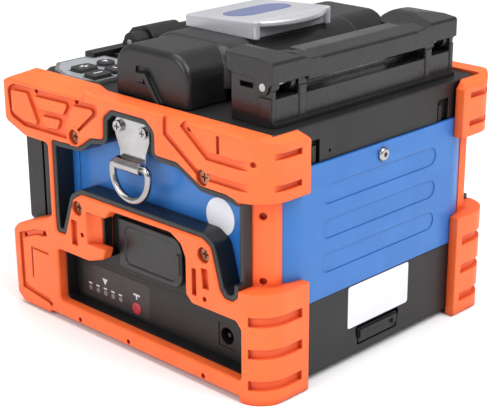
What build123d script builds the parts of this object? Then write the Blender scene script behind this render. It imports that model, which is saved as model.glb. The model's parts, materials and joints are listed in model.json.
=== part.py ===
from build123d import *
import os

os.makedirs("parts", exist_ok=True)

# ---------------------------------------------------------------------------
# Fibre fusion splicer.  Millimetres, +Z up, +X to the operator's right,
# +Y to the rear.  Origin on the resting plane, under the middle of the case.
# ---------------------------------------------------------------------------

# Case envelope
SIDE_X = 65.0          # outer face of the case sides
REAR_Y = 74.5          # outer face of the rear panel
FRONT_Y = -65.5        # front wall of the case, behind the screen
BASE_BOTTOM = 3.0
BASE_TOP = 34.5
SHELL_TOP = 92.0
DECK_TOP = 108.0
CASE_CORNER = 6.0
PANEL_CORNER = 17.0     # rear panel bends round the case corners
SEAM = 0.2             # gap left between neighbouring housings
SHEET = 1.5            # blue panel thickness

# Bumpers
BUMPER_X = 75.0        # outer face of the soft bumpers
BUMPER_REAR = 79.0
BUMPER_FRONT = -79.0
BUMPER_CORNER = 14.0
LINER_X = 70.0         # face where the orange skin meets the black liner
SKIN = BUMPER_X - LINER_X
PAD_INNER_X = 48.5     # how far the corner pads wrap onto the rear
LINER_REVEAL = 2.2     # black edge seen round the side windows

# Middle line shared by the chamber, its cover and the carrying rings
MID_Y = 4.5
FIBRE_Y = 0.5
FIBRE_Z = 117.5

# Battery drawer
BATTERY_Y = (-45.2, 66.6)
BATTERY_Z = (9.9, 29.8)
BATTERY_X = (-44.5, 64.6)
DRAWER_GAP = 0.3

# Fasteners
M3_SHAFT = 1.5
M3_TAPPED = 1.55
M3_CLEAR = 1.7


def block(x, y, z, mode=Mode.ADD):
    """Rectangular block between two limits on every axis."""
    with Locations(((x[0] + x[1]) / 2, (y[0] + y[1]) / 2, (z[0] + z[1]) / 2)):
        Box(x[1] - x[0], y[1] - y[0], z[1] - z[0], mode=mode)


def side_plane(x):
    """Sketch plane facing +X: sketch axes are Y and Z."""
    return Plane(origin=(x, 0, 0), x_dir=(0, 1, 0), z_dir=(1, 0, 0))


def rear_plane(y):
    """Sketch plane facing -Y: sketch axes are X and Z."""
    return Plane(origin=(0, y, 0), x_dir=(1, 0, 0), z_dir=(0, -1, 0))


def outline(plane, points, grow=0.0):
    """Closed outline; a third number on a point rounds that corner."""
    with BuildSketch(plane) as shape:
        with BuildLine():
            Polyline(*[(p[0], p[1]) for p in points], close=True)
        make_face()
        for p in points:
            if len(p) == 3:
                corner = shape.vertices().sort_by_distance((p[0], p[1]))[0]
                fillet(corner, p[2])
        if grow:
            offset(amount=grow, kind=Kind.INTERSECTION)
    return shape.sketch


def side_prism(points, x, mode=Mode.ADD, grow=0.0):
    """Outline in Y and Z, extruded along X."""
    extrude(outline(side_plane(x[0]), points, grow), amount=x[1] - x[0], mode=mode)


def plan_prism(points, z, mode=Mode.ADD, grow=0.0):
    """Outline in X and Y, extruded along Z."""
    extrude(outline(Plane.XY.offset(z[0]), points, grow), amount=z[1] - z[0], mode=mode)


def rear_prism(points, y, mode=Mode.ADD, grow=0.0):
    """Outline in X and Z, extruded along Y."""
    extrude(outline(rear_plane(y[1]), points, grow), amount=y[1] - y[0], mode=mode)


def rod_x(radius, x, y, z, mode=Mode.ADD):
    """Round bar along X."""
    with Locations(Location(((x[0] + x[1]) / 2, y, z), (0, 90, 0))):
        Cylinder(radius, x[1] - x[0], mode=mode)


def rod_y(radius, x, y, z, mode=Mode.ADD):
    """Round bar along Y."""
    with Locations(Location((x, (y[0] + y[1]) / 2, z), (90, 0, 0))):
        Cylinder(radius, y[1] - y[0], mode=mode)


def rod_z(radius, x, y, z, mode=Mode.ADD):
    """Round bar along Z."""
    with Locations((x, y, (z[0] + z[1]) / 2)):
        Cylinder(radius, z[1] - z[0], mode=mode)


def save(piece, name):
    """Label one piece and write it next to the others."""
    piece.label = name
    export_step(piece, f"parts/{name}.step")


# ---------------------------------------------------------------------------
# Lower case
# ---------------------------------------------------------------------------

BASE_FRONT = -75.0
BASE_PLAN = [
    (-SIDE_X, BASE_FRONT, 3),
    (SIDE_X, BASE_FRONT, 3),
    (SIDE_X, REAR_Y, CASE_CORNER),
    (-SIDE_X, REAR_Y, CASE_CORNER),
]
FOOT_SPOTS = [(-50, -62), (50, -62), (50, 60), (-50, 60)]
FOOT_RADIUS = 6.0
PORT_WALL_Y = (-21.0, 43.2)
PORT_WALL_TOP = 63.8
PORT_OPEN = [(-9.5, 35.5, 3), (23.5, 35.5, 3), (23.5, 52.5, 3), (-9.5, 52.5, 3)]
LATCH_AXIS_Z = 8.0
LATCH_RECESS = [(-13, 6.2, 1), (13, 6.2, 1), (14.6, 15, 1.5), (-14.6, 15, 1.5)]

with BuildPart() as base_tray:
    plan_prism(BASE_PLAN, (BASE_BOTTOM, BASE_TOP))
    # Wall that rises into the right-hand panel and carries the sockets
    wall = [(PORT_WALL_Y[0], BASE_TOP - 4), (PORT_WALL_Y[1], BASE_TOP - 4),
            (PORT_WALL_Y[1], PORT_WALL_TOP, 2), (PORT_WALL_Y[0], PORT_WALL_TOP, 2)]
    side_prism(wall, (SIDE_X - 2.5, SIDE_X))
    side_prism(PORT_OPEN, (SIDE_X - 4, SIDE_X + 1), mode=Mode.SUBTRACT)
    # Drawer tunnel for the battery, open on the right
    block(
        (BATTERY_X[0] - DRAWER_GAP, SIDE_X + 1),
        (BATTERY_Y[0] - DRAWER_GAP, BATTERY_Y[1] + DRAWER_GAP),
        (BATTERY_Z[0] - 0.2, BATTERY_Z[1] + 0.2),
        mode=Mode.SUBTRACT,
    )
    # Open tops: over the tunnel, behind its end and in front of it
    block((-62.5, 62.5), (-44, 70), (32, 40), mode=Mode.SUBTRACT)
    block((-62.5, -47.5), (-44, 70), (6, 40), mode=Mode.SUBTRACT)
    block((-62.5, 62.5), (-72.5, -48), (6, 40), mode=Mode.SUBTRACT)
    block((-62.5, 62.5), (FRONT_Y, -44), (32, 40), mode=Mode.SUBTRACT)
    # Lightening pockets underneath
    for x in (-26, 26):
        for y in (-25, 30):
            with Locations((x, y, BASE_BOTTOM + 1)):
                Box(36, 40, 3, mode=Mode.SUBTRACT)
    # Seats for the feet and for the tripod bush
    for spot in FOOT_SPOTS:
        rod_z(FOOT_RADIUS + 0.1, spot[0], spot[1], (0, BASE_BOTTOM + 1.5), mode=Mode.SUBTRACT)
    rod_z(5.0, 0, 0, (0, 9), mode=Mode.SUBTRACT)
    # Recess for the drawer latch at the rear
    rear_prism(LATCH_RECESS, (REAR_Y - 3, REAR_Y + 1), mode=Mode.SUBTRACT)
    rod_x(1.05, (-17, 17), REAR_Y - 1.5, LATCH_AXIS_Z, mode=Mode.SUBTRACT)
save(base_tray.part, "base_tray")

with BuildPart() as base_feet:
    for spot in FOOT_SPOTS:
        rod_z(FOOT_RADIUS, spot[0], spot[1], (0, BASE_BOTTOM + 1.4))
    chamfer(base_feet.edges().group_by(Axis.Z)[0], 0.6)
save(base_feet.part, "base_feet")

with BuildPart() as tripod_bush:
    rod_z(5.0, 0, 0, (BASE_BOTTOM, 8.9))
    rod_z(2.6, 0, 0, (0, 8.0), mode=Mode.SUBTRACT)
save(tripod_bush.part, "tripod_bush")

# Drawer latch: a flap on two stub pins in the rear recess
with BuildPart() as battery_latch:
    tab = [(-12, 7), (12, 7), (12.9, 13.6, 0.8), (-12.9, 13.6, 0.8)]
    rear_prism(tab, (REAR_Y - 1.9, REAR_Y - 0.1))
    rod_x(1.0, (-15.8, 15.8), REAR_Y - 1.5, LATCH_AXIS_Z)
    block((-12, 12), (REAR_Y - 0.2, REAR_Y + 0.9), (11.6, 13.0))
    for side in (-1, 1):
        block(sorted((side * 9.6, side * 12)), (REAR_Y - 0.2, REAR_Y + 0.9), (9.0, 11.8))
save(battery_latch.part, "battery_latch")

# ---------------------------------------------------------------------------
# Battery drawer
# ---------------------------------------------------------------------------

FACE_X = BATTERY_X[1]
LED_Y = [-36.2 + 5.05 * i for i in range(5)]
LED_Z = 15.6
BUTTON_Y = -5.3
BUTTON_Z = 14.8
JACK_Y = 49.4
JACK_Z = 19.6
MEMBRANE = [(-41, 11.4, 2), (3.2, 11.4, 2), (3.2, 27.4, 2), (-41, 27.4, 2)]

with BuildPart() as battery_case:
    block(BATTERY_X, BATTERY_Y, BATTERY_Z)
    fillet(battery_case.edges().filter_by(Axis.X), 1.0)
    block(
        (BATTERY_X[0] + 1.8, FACE_X - 2.2),
        (BATTERY_Y[0] + 1.8, BATTERY_Y[1] - 1.8),
        (BATTERY_Z[0] + 1.8, BATTERY_Z[1] - 1.8),
        mode=Mode.SUBTRACT,
    )
    side_prism(MEMBRANE, (FACE_X - 0.5, FACE_X + 1), mode=Mode.SUBTRACT, grow=0.1)
    for y in LED_Y:
        rod_x(1.25, (FACE_X - 3, FACE_X + 1), y, LED_Z, mode=Mode.SUBTRACT)
    rod_x(2.9, (FACE_X - 3, FACE_X + 1), BUTTON_Y, BUTTON_Z, mode=Mode.SUBTRACT)
    block(
        (FACE_X - 3, FACE_X + 1),
        (JACK_Y - 4.7, JACK_Y + 4.7),
        (JACK_Z - 5.2, JACK_Z + 5.2),
        mode=Mode.SUBTRACT,
    )
save(battery_case.part, "battery_case")

CELL_RADIUS = 7.1
with BuildPart() as battery_cells:
    for row in range(6):
        rod_x(CELL_RADIUS, (-40, 27), -32 + 15 * row, 19.8)
save(battery_cells.part, "battery_cells")

with BuildPart() as battery_membrane:
    side_prism(MEMBRANE, (FACE_X - 0.45, FACE_X - 0.05))
    for y in LED_Y:
        rod_x(1.25, (FACE_X - 3, FACE_X + 1), y, LED_Z, mode=Mode.SUBTRACT)
    rod_x(2.9, (FACE_X - 3, FACE_X + 1), BUTTON_Y, BUTTON_Z, mode=Mode.SUBTRACT)
save(battery_membrane.part, "battery_membrane")

with BuildPart() as charge_leds:
    for y in LED_Y:
        rod_x(1.2, (FACE_X - 1.6, FACE_X - 0.05), y, LED_Z)
save(charge_leds.part, "charge_leds")

with BuildPart() as charge_button:
    rod_x(2.8, (FACE_X - 1.5, FACE_X + 0.35), BUTTON_Y, BUTTON_Z)
    fillet(charge_button.edges().group_by(Axis.X)[-1], 0.3)
save(charge_button.part, "charge_button")

with BuildPart() as dc_jack:
    block((FACE_X - 12, FACE_X - 0.3), (JACK_Y - 4.6, JACK_Y + 4.6), (JACK_Z - 5.1, JACK_Z + 5.1))
    rod_x(3.6, (FACE_X - 10, FACE_X), JACK_Y, JACK_Z, mode=Mode.SUBTRACT)
    rod_x(1.0, (FACE_X - 10.5, FACE_X - 1.5), JACK_Y, JACK_Z)
save(dc_jack.part, "dc_jack")

# ---------------------------------------------------------------------------
# Sockets behind the rubber flap
# ---------------------------------------------------------------------------

FLAP_AXIS_X = SIDE_X + 1.05
FLAP_AXIS_Y = -12.3
FLAP_THICK = 1.9
FLAP_Z = (33.1, 55.1)

with BuildPart() as port_sockets:
    # Mounting plate with a computer socket and a display socket
    block((60.6, 62.4), (-12, 26), (34, 54))
    block((54, 64.2), (-6.5, 6.5), (38, 50))
    block((57, 65), (-4.5, 4.5), (40, 48), mode=Mode.SUBTRACT)
    block((57, 64.2), (-3, 3), (43.4, 44.8))
    block((54, 64.2), (12, 20), (41.5, 46.5))
    block((57, 65), (13, 19), (42.5, 45.5), mode=Mode.SUBTRACT)
    block((57, 64.2), (14, 18), (43.7, 44.3))
save(port_sockets.part, "port_sockets")

with BuildPart() as port_flap:
    flap_plan = [
        (FLAP_AXIS_Y, FLAP_Z[0]),
        (26.2, FLAP_Z[0], 6),
        (26.2, FLAP_Z[1], 6),
        (FLAP_AXIS_Y, FLAP_Z[1]),
    ]
    side_prism(flap_plan, (SIDE_X + 0.1, SIDE_X + 0.1 + FLAP_THICK))
    rod_z(FLAP_THICK / 2, FLAP_AXIS_X, FLAP_AXIS_Y, FLAP_Z)
    flap_field = [(FLAP_AXIS_Y + 3.5, FLAP_Z[0] + 2.4, 3), (23.4, FLAP_Z[0] + 2.4, 4.5),
                  (23.4, FLAP_Z[1] - 2.4, 4.5), (FLAP_AXIS_Y + 3.5, FLAP_Z[1] - 2.4, 3)]
    side_prism(flap_field, (SIDE_X + 1.6, SIDE_X + 3), mode=Mode.SUBTRACT)
    # Finger lip on the free edge
    block((SIDE_X + 1.9, SIDE_X + 2.6), (23.6, 25.2), (39.5, 48.5))
save(port_flap.part, "port_flap")

# ---------------------------------------------------------------------------
# Painted panels and front housing
# ---------------------------------------------------------------------------

PANEL_Z = (BASE_TOP + SEAM, SHELL_TOP - SEAM)
SIDE_SEAM_Y = 46.8
PANEL_FRONT_Y = -44.4
BOSS_SPOTS = [(-30.0, 57.0), (47.2, 57.0), (-30.0, 88.6), (47.2, 88.6)]
BOSS_END = 62.3

with BuildPart() as side_panel_left:
    block((-SIDE_X, -SIDE_X + SHEET), (PANEL_FRONT_Y, SIDE_SEAM_Y), PANEL_Z)
    block((-SIDE_X - 1, -SIDE_X + 0.4), (-39.4, -38.8), PANEL_Z, mode=Mode.SUBTRACT)
    for spot in BOSS_SPOTS:
        if spot[0] < SIDE_SEAM_Y - 2:
            rod_x(M3_CLEAR, (-SIDE_X - 1, -SIDE_X + 3), spot[0], spot[1], mode=Mode.SUBTRACT)
    block((-SIDE_X - 1, -SIDE_X + 3), (45.0, 50), (54.9, 59.1), mode=Mode.SUBTRACT)
    block((-SIDE_X - 1, -SIDE_X + 3), (45.0, 50), (86.5, 90.7), mode=Mode.SUBTRACT)
save(side_panel_left.part, "side_panel_left")

with BuildPart() as side_panel_right:
    mirror(side_panel_left.part, about=Plane.YZ)
    notch = [
        (PORT_WALL_Y[0] - SEAM, 20),
        (PORT_WALL_Y[1] + SEAM, 20),
        (PORT_WALL_Y[1] + SEAM, PORT_WALL_TOP + SEAM, 2),
        (PORT_WALL_Y[0] - SEAM, PORT_WALL_TOP + SEAM, 2),
    ]
    side_prism(notch, (SIDE_X - 3, SIDE_X + 1), mode=Mode.SUBTRACT)
    tongue = side_panel_right.edges().filter_by(Axis.X).group_by(Axis.Z)[0]
    fillet(tongue.sort_by_distance((SIDE_X, PORT_WALL_Y[0], BASE_TOP))[:2], 1.5)
save(side_panel_right.part, "side_panel_right")

REAR_RIBS_Z = [49.0, 63.5, 78.0]
RIB_LENGTH = 73.0
RIB_HEIGHT = 8.0
RIB_DEPTH = 0.4

with BuildPart() as rear_panel:
    seam_y = SIDE_SEAM_Y + SEAM
    outer = [(-SIDE_X, seam_y), (SIDE_X, seam_y), (SIDE_X, REAR_Y, PANEL_CORNER),
             (-SIDE_X, REAR_Y, PANEL_CORNER)]
    inner = [(-SIDE_X + SHEET, seam_y - 1), (SIDE_X - SHEET, seam_y - 1),
             (SIDE_X - SHEET, REAR_Y - SHEET, PANEL_CORNER - SHEET),
             (-SIDE_X + SHEET, REAR_Y - SHEET, PANEL_CORNER - SHEET)]
    plan_prism(outer, PANEL_Z)
    plan_prism(inner, (PANEL_Z[0] - 1, PANEL_Z[1] + 1), mode=Mode.SUBTRACT)
    for z in REAR_RIBS_Z:
        with BuildSketch(rear_plane(REAR_Y)) as rib:
            with Locations((0, z)):
                SlotOverall(RIB_LENGTH, RIB_HEIGHT)
        extrude(amount=RIB_DEPTH, mode=Mode.SUBTRACT)
    rod_y(M3_CLEAR, 0, (REAR_Y - 3, REAR_Y + 1), 87, mode=Mode.SUBTRACT)
    for side in (-1, 1):
        for z in (57.0, 88.6):
            block(sorted((side * (SIDE_X - 3), side * (SIDE_X + 1))), (45, 49.2), (z - 2.1, z + 2.1),
                  mode=Mode.SUBTRACT)
save(rear_panel.part, "rear_panel")

with BuildPart() as rear_screw:
    rod_y(M3_SHAFT, 0, (REAR_Y - 8, REAR_Y + 0.1), 87)
    rod_y(2.9, 0, (REAR_Y + 0.02, REAR_Y + 1.7), 87)
    fillet(rear_screw.edges().group_by(Axis.Y)[-1], 1.1)
    with BuildSketch(rear_plane(REAR_Y + 1.8)) as socket:
        with Locations((0, 87)):
            RegularPolygon(1.15, 6)
    extrude(amount=1.2, mode=Mode.SUBTRACT)
save(rear_screw.part, "rear_screw")

with BuildPart() as seal_sticker:
    rod_x(7.8, (SIDE_X + 0.02, SIDE_X + 0.14), SIDE_SEAM_Y + 0.1, 70.2)
save(seal_sticker.part, "seal_sticker")

with BuildPart() as rating_label:
    rear_prism([(-20, 15.5, 1.2), (19.6, 15.5, 1.2), (19.6, 34.2, 1.2), (-20, 34.2, 1.2)],
               (REAR_Y + 0.02, REAR_Y + 0.15))
save(rating_label.part, "rating_label")

with BuildPart() as front_housing:
    wing_y = PANEL_FRONT_Y - SEAM
    outer = [(-SIDE_X, wing_y), (-SIDE_X, FRONT_Y, 2), (SIDE_X, FRONT_Y, 2), (SIDE_X, wing_y)]
    inner = [(-SIDE_X + 2, wing_y + 1), (-SIDE_X + 2, FRONT_Y + 2), (SIDE_X - 2, FRONT_Y + 2),
             (SIDE_X - 2, wing_y + 1)]
    plan_prism(outer, PANEL_Z)
    plan_prism(inner, (PANEL_Z[0] - 1, PANEL_Z[1] + 1), mode=Mode.SUBTRACT)
    # Cable slot for the screen
    block((-14, 14), (FRONT_Y - 1, FRONT_Y + 3), (84, 100), mode=Mode.SUBTRACT)
save(front_housing.part, "front_housing")

# ---------------------------------------------------------------------------
# Inner frame and electronics
# ---------------------------------------------------------------------------

with BuildPart() as chassis_frame:
    for side in (-1, 1):
        block(sorted((side * 55, side * 57)), (-42, 62), (32.1, 91))
        for spot in BOSS_SPOTS:
            rod_x(4.0, sorted((side * 56, side * BOSS_END)), spot[0], spot[1])
        # Window so the sockets can pass through the right-hand wall
        block(sorted((side * 50, side * 60)), (-16, 30), (33.5, 54.6), mode=Mode.SUBTRACT)
        # Foot flanges standing on the roof of the drawer tunnel
        block(sorted((side * 45, side * 56)), (-42, -20), (32.1, 34))
        block(sorted((side * 45, side * 56)), (34, 62), (32.1, 34))
        for spot in BOSS_SPOTS:
            rod_x(M3_TAPPED, sorted((side * 54, side * 64)), spot[0], spot[1],
                  mode=Mode.SUBTRACT)
    block((-56, 56), (60, 62), (50, 91))
    block((-3.5, 3.5), (61, REAR_Y - SHEET - 0.1), (83.5, 90.5))
    rod_y(M3_TAPPED, 0, (59, 75), 87, mode=Mode.SUBTRACT)
    block((-56, 56), (-42, -40), (50, 91))
    for x in (-40, 40):
        block((x - 5, x + 5), (-30, 50), (87, 91))
    block((-56, 56), (-41, -30), (87, 91))
    block((-56, 56), (50, 61), (87, 91))
save(chassis_frame.part, "chassis_frame")

BOARD_Z = (37.0, 38.6)
with BuildPart() as main_board:
    block((-48, 48), (-36, 56), BOARD_Z)
    for x in (-41, 41):
        for y in (-32, 52):
            rod_z(1.6, x, y, (36, 40), mode=Mode.SUBTRACT)
            rod_z(2.6, x, y, (32.1, BOARD_Z[0]))
            rod_z(1.2, x, y, (32, 40), mode=Mode.SUBTRACT)
    block((-14, 14), (-6, 22), (BOARD_Z[1] - 0.1, 41))
    block((20, 34), (-30, -14), (BOARD_Z[1] - 0.1, 40.2))
    block((-38, -24), (24, 44), (BOARD_Z[1] - 0.1, 52))
    for x in (-36, -28, -20):
        rod_z(3.5, x, -24, (BOARD_Z[1] - 0.1, 48))
save(main_board.part, "main_board")

# ---------------------------------------------------------------------------
# Top deck
# ---------------------------------------------------------------------------

NECK_HALF = 34.5
APRON_REAR = 73.5
DECK_FRONT = -71.0
RIM_TOP = 114.4

with BuildPart() as top_deck:
    deck_plan = [(-SIDE_X, FRONT_Y), (SIDE_X, FRONT_Y), (SIDE_X, APRON_REAR, 5),
                 (-SIDE_X, APRON_REAR, 5)]
    hollow = [(-SIDE_X + 2.5, FRONT_Y + 2.5), (SIDE_X - 2.5, FRONT_Y + 2.5),
              (SIDE_X - 2.5, APRON_REAR - 2.5, 3), (-SIDE_X + 2.5, APRON_REAR - 2.5, 3)]
    plan_prism(deck_plan, (SHELL_TOP, DECK_TOP))
    plan_prism(hollow, (SHELL_TOP - 1, DECK_TOP - 3), mode=Mode.SUBTRACT)
    # Front shelves that carry the keypads on either side of the screen neck
    for side in (-1, 1):
        shelf = [(side * NECK_HALF, -60), (side * SIDE_X, -60), (side * SIDE_X, -63),
                 (side * (SIDE_X - 11), DECK_FRONT, 1), (side * NECK_HALF, DECK_FRONT, 1)]
        plan_prism(shelf, (DECK_TOP - 3, DECK_TOP))
    # Opening over the splicing chamber with a raised rim at the rear
    block((-41, 41), (-19, 27), (100, 112), mode=Mode.SUBTRACT)
    block((-36, 36), (27, 29), (DECK_TOP - 1, RIM_TOP))
    # Cable opening under the heater
    block((-12, 12), (50, 60), (100, 112), mode=Mode.SUBTRACT)
    # Seat lugs for the cover hinge
    for side in (-1, 1):
        for x in (side * 22, side * 40):
            block((x - 1.4, x + 1.4), (-27.2, -22.8), (DECK_TOP - 1, 112.5))
            rod_x(2.2, (x - 1.4, x + 1.4), -25.0, 112.5)
            rod_x(1.0, (x - 2, x + 2), -25.0, 112.5, mode=Mode.SUBTRACT)
    # Pockets in the rear apron with a small hook in each
    for side in (-1, 1):
        block(sorted((side * 37.5, side * 45)), (APRON_REAR - 2.1, APRON_REAR + 1), (90, 101.5),
              mode=Mode.SUBTRACT)
        block(sorted((side * 39, side * 41.2)), (APRON_REAR - 2.3, APRON_REAR - 0.6), (92, 99))
    rod_y(0.7, 31.5, (APRON_REAR - 1, APRON_REAR + 1), 95.5, mode=Mode.SUBTRACT)
    chamfer(top_deck.faces().sort_by(Axis.Y)[-1].edges().sort_by(Axis.Z)[-1], 0.5)
save(top_deck.part, "top_deck")

# Keypads: grey tiles, pale face plates and rubber keys, right and left
KEYPAD = [(28, -64.5, 1), (34.5, -64.5, 1), (35, -69.5, 1), (51.5, -69.5, 1),
          (59.2, -61, 2), (63.2, -50, 2), (63.2, -37, 2), (59.5, -31, 2), (28, -31, 1)]
KEYPAD_Z = (DECK_TOP + 0.05, 109.7)
KEY_SPOTS = {"front": (51.5, -50.2), "outer": (54.6, -37.2), "round": (38.8, -50.8),
             "inner": (42.4, -38.6)}
KEY_SIZE = (10.6, 8.6)

with BuildPart() as keypad_tiles:
    for side in (-1, 1):
        tile = [(side * p[0], *p[1:]) for p in KEYPAD]
        plan_prism(tile, KEYPAD_Z)
        plan_prism(tile, (KEYPAD_Z[1] - 0.4, KEYPAD_Z[1] + 1), mode=Mode.SUBTRACT, grow=-1.6)
        for name, spot in KEY_SPOTS.items():
            if name == "round":
                rod_z(4.2, side * spot[0], spot[1], (DECK_TOP - 1, 112), mode=Mode.SUBTRACT)
            else:
                with Locations((side * spot[0], spot[1], 110)):
                    Box(KEY_SIZE[0] + 0.3, KEY_SIZE[1] + 0.3, 5, mode=Mode.SUBTRACT)
save(keypad_tiles.part, "keypad_tiles")

with BuildPart() as keypad_plates:
    for side in (-1, 1):
        tile = [(side * p[0], *p[1:]) for p in KEYPAD]
        plan_prism(tile, (KEYPAD_Z[1] - 0.35, KEYPAD_Z[1] + 0.05), grow=-1.7)
        for name, spot in KEY_SPOTS.items():
            if name == "round":
                rod_z(4.2, side * spot[0], spot[1], (DECK_TOP - 1, 112), mode=Mode.SUBTRACT)
            else:
                with Locations((side * spot[0], spot[1], 110)):
                    Box(KEY_SIZE[0] + 0.3, KEY_SIZE[1] + 0.3, 5, mode=Mode.SUBTRACT)
save(keypad_plates.part, "keypad_plates")

KEY_Z = (DECK_TOP + 0.7, 111.4)


def make_key(spot, round_key):
    """One rubber key with softened top edges."""
    with BuildPart() as key:
        if round_key:
            rod_z(4.0, spot[0], spot[1], KEY_Z)
        else:
            with Locations((spot[0], spot[1], (KEY_Z[0] + KEY_Z[1]) / 2)):
                Box(KEY_SIZE[0], KEY_SIZE[1], KEY_Z[1] - KEY_Z[0])
            chamfer(key.edges().filter_by(Axis.Z), 1.6)
        fillet(key.faces().sort_by(Axis.Z)[-1].edges(), 0.5)
    return key.part


for side_name, side in (("right", 1), ("left", -1)):
    for key_name, spot in KEY_SPOTS.items():
        key_part = make_key((side * spot[0], spot[1]), key_name == "round")
        save(key_part, f"key_{key_name}_{side_name}")

# ---------------------------------------------------------------------------
# Screen and its hinge
# ---------------------------------------------------------------------------

SCREEN_X = 64.4
SCREEN_Y = (-78.5, -66.5)
SCREEN_Z = (37.0, 98.0)
HINGE_Y = -58.0
HINGE_Z = 115.0

with BuildPart() as monitor_housing:
    block((-SCREEN_X, SCREEN_X), SCREEN_Y, SCREEN_Z)
    fillet(monitor_housing.edges().filter_by(Axis.Y), 3)
    fillet(monitor_housing.faces().sort_by(Axis.Y)[0].edges(), 1.5)
    block((-57, 57), (SCREEN_Y[0] - 1, SCREEN_Y[0] + 1.4), (43, 93), mode=Mode.SUBTRACT)
    # Neck up over the front of the deck, then the knuckle round the hinge rod
    block((-32, 32), (-73.5, -67), (SCREEN_Z[1] - 2, 111))
    tongue = [(-73.5, 106), (-67, 106), (-67, 108.7), (HINGE_Y, 108.7), (HINGE_Y, 121.3),
              (-66, 119.5, 3), (-73.5, 111.5, 2)]
    side_prism(tongue, (-9.6, 9.6))
    rod_x(6.3, (-9.6, 9.6), HINGE_Y, HINGE_Z)
    rod_x(1.56, (-10, 10), HINGE_Y, HINGE_Z, mode=Mode.SUBTRACT)
save(monitor_housing.part, "monitor_housing")

with BuildPart() as monitor_glass:
    block((-56.9, 56.9), (SCREEN_Y[0] + 0.1, SCREEN_Y[0] + 1.35), (43.1, 92.9))
save(monitor_glass.part, "monitor_glass")

with BuildPart() as hinge_saddle:
    for side in (-1, 1):
        block(sorted((side * 10.1, side * 22)), (-65, -47), (DECK_TOP + 0.05, 109.4))
        cheek = sorted((side * 10.1, side * 18))
        block(cheek, (HINGE_Y - 4.5, HINGE_Y + 4.5), (109, HINGE_Z))
        rod_x(4.5, cheek, HINGE_Y, HINGE_Z)
    block((-22, 22), (-51, -47), (DECK_TOP + 0.05, 109.4))
    rod_x(1.55, (-30, 30), HINGE_Y, HINGE_Z, mode=Mode.SUBTRACT)
save(hinge_saddle.part, "hinge_saddle")

with BuildPart() as hinge_rod:
    rod_x(1.5, (-18.6, 18.6), HINGE_Y, HINGE_Z)
save(hinge_rod.part, "hinge_rod")

# ---------------------------------------------------------------------------
# Bumpers: an orange skin over a black liner, one set on each side
# ---------------------------------------------------------------------------

BUMPER_OUTLINE = [
    (BUMPER_FRONT, 104.5, 3), (-66, 110.5, 3), (-23, 110.5, 3), (-18.5, 108.9, 3), (79, 108.9),
    (79, 0, 1.5), (66, 0, 1.5), (66, 2.5), (-52, 2.5), (-53.5, 1, 1), (-72, 1, 3), (-77, 4.5, 3),
    (-77.3, 36, 3), (-73.4, 39.2, 4), (-64, 42.8, 4), (-53, 46.8, 4), (-48.6, 48.8, 2),
    (-48.6, 82, 2), (-64.7, 82, 4), (-77, 86.5, 3), (BUMPER_FRONT, 90, 2),
]
POST_Y = 65.5
WINDOW = [
    (-46, 84.2, 1.5), (-40, 84.2, 3), (-27, 85, 4), (-20, 90, 4), (-11.5, 91.3, 2), (-11, 101, 4),
    (-6, 105, 4), (15, 105, 4), (20, 101, 4), (20, 91.5, 2), (33, 91.3, 5), (46, 84.8, 5),
    (60, 84.6, 3), (POST_Y, 83.3, 2), (POST_Y, 44.5, 2.5), (62.5, 41.8, 2), (58, 41.8, 2),
    (55.6, 44.5, 3), (52.7, 54.5, 6), (50.9, 61, 4), (46, 63.7, 4), (-27.5, 63.7, 5),
    (-33, 60.5, 4), (-35.9, 52.4, 5), (-39.5, 42.3, 2), (-45.6, 42.3, 1.5), (-46, 49, 2),
]
DRAWER_WINDOW = [
    (-45.6, 9.5, 2), (-45.6, 34.3, 2), (-24, 34.3, 3), (-14.5, 37.5, 3), (-12.9, 42, 2),
    (-12.9, 56, 3), (-8.5, 60.9, 4), (28, 61.3, 4), (34, 58, 3), (36.5, 53, 3), (36.5, 37.5, 2),
    (40, 34.3, 2), (64.5, 34.3, 2), (67.1, 31.5, 2), (67.1, 9.5, 2),
]
RING_Y = MID_Y
TONGUE_X = 71.0
BUMPER_PLAN = [(40, BUMPER_FRONT - 1), (BUMPER_X, BUMPER_FRONT - 1, 4),
               (BUMPER_X, BUMPER_REAR, BUMPER_CORNER), (40, BUMPER_REAR)]
LINER_REAR = 74.7
SCREW_HEAD_SEAT = 71.5
LINER_CORNER = 9.0
POST_Z = (47.0, 83.5)
POST_PLAN = [(60, POST_Y), (66.6, POST_Y), (61.3, 72.6), (57, 72.3), (50, 60)]
POST_HOLE_Z = (49.0, 75.7)
LEDGE = 2.0
LEDGE_PLAN = [(50, POST_Y + 0.1), (BUMPER_X - 1, POST_Y + 0.1),
              (BUMPER_X - 1, BUMPER_REAR - 1, 11), (50, BUMPER_REAR - 1)]
BEAD_X = BUMPER_X - 0.9
LINER_PLAN = [(60, -80), (LINER_X, -80, 2), (LINER_X, LINER_REAR, LINER_CORNER), (60, LINER_REAR)]

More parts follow.
